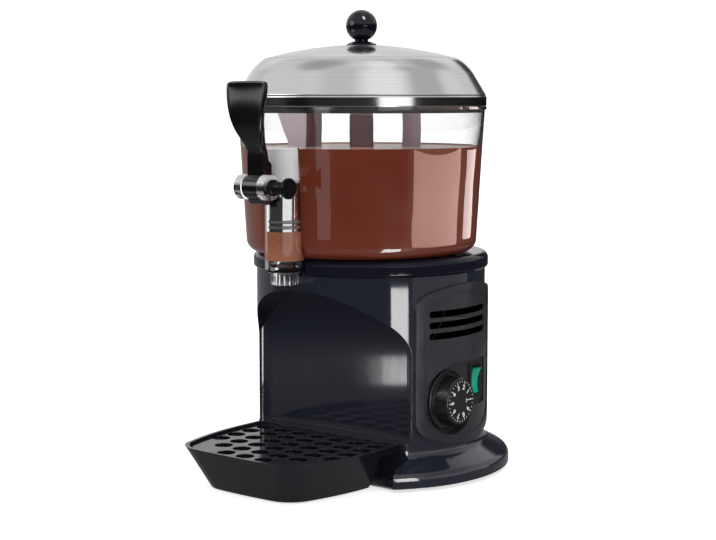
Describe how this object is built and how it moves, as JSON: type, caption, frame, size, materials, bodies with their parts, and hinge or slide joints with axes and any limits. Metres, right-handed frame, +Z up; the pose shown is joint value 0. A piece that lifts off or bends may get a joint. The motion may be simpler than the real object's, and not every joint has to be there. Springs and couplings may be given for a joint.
{
  "type": "hot chocolate dispenser",
  "caption": "Counter-top hot chocolate dispenser with a round dark body, a cup niche, a clear stirred bowl with a lever tap, a domed steel lid and a perforated drip tray.",
  "frame": {"origin": "on the table under the middle of the machine's width and length", "axes": "+Z up, -Y towards the user who works the tap, +X towards the control panel's side"},
  "size_m": [0.276, 0.3414, 0.4469],
  "materials": {
    "dark_shell": "gloss",
    "dark_panel": "satin",
    "dark_trim": "gloss",
    "lever_black": "satin",
    "tray_black": "gloss",
    "clear": "clear gloss",
    "steel": "brushed",
    "polished_steel": "satin polish",
    "plated_steel": "zinc plated",
    "brass": "plain",
    "stirrer_plastic": "satin",
    "white_plastic": "satin",
    "green_plastic": "gloss",
    "rubber": "matte",
    "seal_rubber": "matte",
    "gear_alloy": "cast",
    "motor_paint": "painted",
    "copper_tube": "drawn",
    "lead_sleeve": "matte"
  },
  "bodies": {
    "machine": {"base_plate": "plated_steel", "base_screws": "plated_steel", "body_shell": "dark_shell", "bowl_gasket": "rubber", "bracket_posts": "plated_steel", "bracket_screws": "plated_steel", "cable_gland": "dark_trim", "collar_screws": "plated_steel", "control_panel": "dark_panel", "element_glands": "brass", "feet": "rubber", "gearbox": "gear_alloy", "gearbox_screws": "plated_steel", "heater_lead": "lead_sleeve", "heating_element": "steel", "motor": "motor_paint", "motor_bracket": "plated_steel", "motor_lead": "lead_sleeve", "safety_thermostat": "white_plastic", "shaft_bush": "brass", "switch_housing": "dark_trim", "switch_lead": "lead_sleeve", "terminal_block": "white_plastic", "thermostat_body": "white_plastic", "thermostat_bulb": "copper_tube", "thermostat_capillary": "copper_tube", "top_collar": "dark_shell", "tray_support": "dark_trim", "water_bath": "steel"},
    "bowl": {"bowl": "clear", "column_bush": "white_plastic", "tap_body": "clear", "tap_nozzle": "clear", "tap_spring": "steel"},
    "lid": {"lid": "polished_steel", "knob_flange": "dark_trim", "lid_knob": "dark_trim", "lid_screw": "plated_steel"},
    "shaft": {"drive_shaft": "steel"},
    "stirrer": {"stirrer_hub": "stirrer_plastic", "stirrer_paddle": "stirrer_plastic", "stirrer_bar": "stirrer_plastic"},
    "lever": {"tap_lever": "lever_black"},
    "pin": {"tap_pin": "dark_trim"},
    "piston": {"tap_piston": "steel", "piston_rings": "seal_rubber", "valve_seal": "seal_rubber"},
    "dial": {"thermostat_knob": "dark_trim", "thermostat_shaft": "brass"},
    "rocker": {"power_rocker": "green_plastic"},
    "tray": {"drip_tray": "tray_black"},
    "grille": {"drip_grille": "tray_black"}
  },
  "joints": [
    {"name": "bowl_lift", "type": "slide", "parent": "machine", "child": "bowl", "axis": [0, 0, 1], "range_m": [0, 0.2]},
    {"name": "lid_lift", "type": "slide", "parent": "bowl", "child": "lid", "axis": [0, 0, 1], "range_m": [0, 0.1]},
    {"name": "shaft_spin", "type": "hinge", "parent": "machine", "child": "shaft", "pos_m": [0, 0.01775, 0.25], "axis": [0, 0, 1], "continuous": true},
    {"name": "stirrer_spin", "type": "hinge", "parent": "bowl", "child": "stirrer", "pos_m": [0, 0.01775, 0.355], "axis": [0, 0, 1], "continuous": true},
    {"name": "lever_swing", "type": "hinge", "parent": "bowl", "child": "lever", "pos_m": [0, -0.13425, 0.282], "axis": [1, 0, 0], "range_deg": [0, 30]},
    {"name": "pin_pull", "type": "slide", "parent": "bowl", "child": "pin", "axis": [1, 0, 0], "range_m": [0, 0.06]},
    {"name": "piston_slide", "type": "slide", "parent": "bowl", "child": "piston", "axis": [0, 0, 1], "range_m": [0, 0.0195], "stiffness_N_per_m": 300, "springref_m": -0.015, "deforming": ["tap_spring"]},
    {"name": "dial_turn", "type": "hinge", "parent": "machine", "child": "dial", "pos_m": [0.11, 0.01425, 0.0775], "axis": [1, 0, 0], "range_deg": [0, 270]},
    {"name": "rocker_tilt", "type": "hinge", "parent": "machine", "child": "rocker", "pos_m": [0.0995, 0.06225, 0.09], "axis": [0, -1, 0], "range_deg": [0, 16]},
    {"name": "tray_slide", "type": "slide", "parent": "machine", "child": "tray", "axis": [0, -1, 0], "range_m": [0, 0.13]},
    {"name": "grille_lift", "type": "slide", "parent": "tray", "child": "grille", "axis": [0, 0, 1], "range_m": [0, 0.05]}
  ],
  "couplings": [
    {"joint": "stirrer_spin", "follows": "shaft_spin", "ratio": 1},
    {"joint": "piston_slide", "follows": "lever_swing", "m_per_rad": 0.03707}
  ]
}
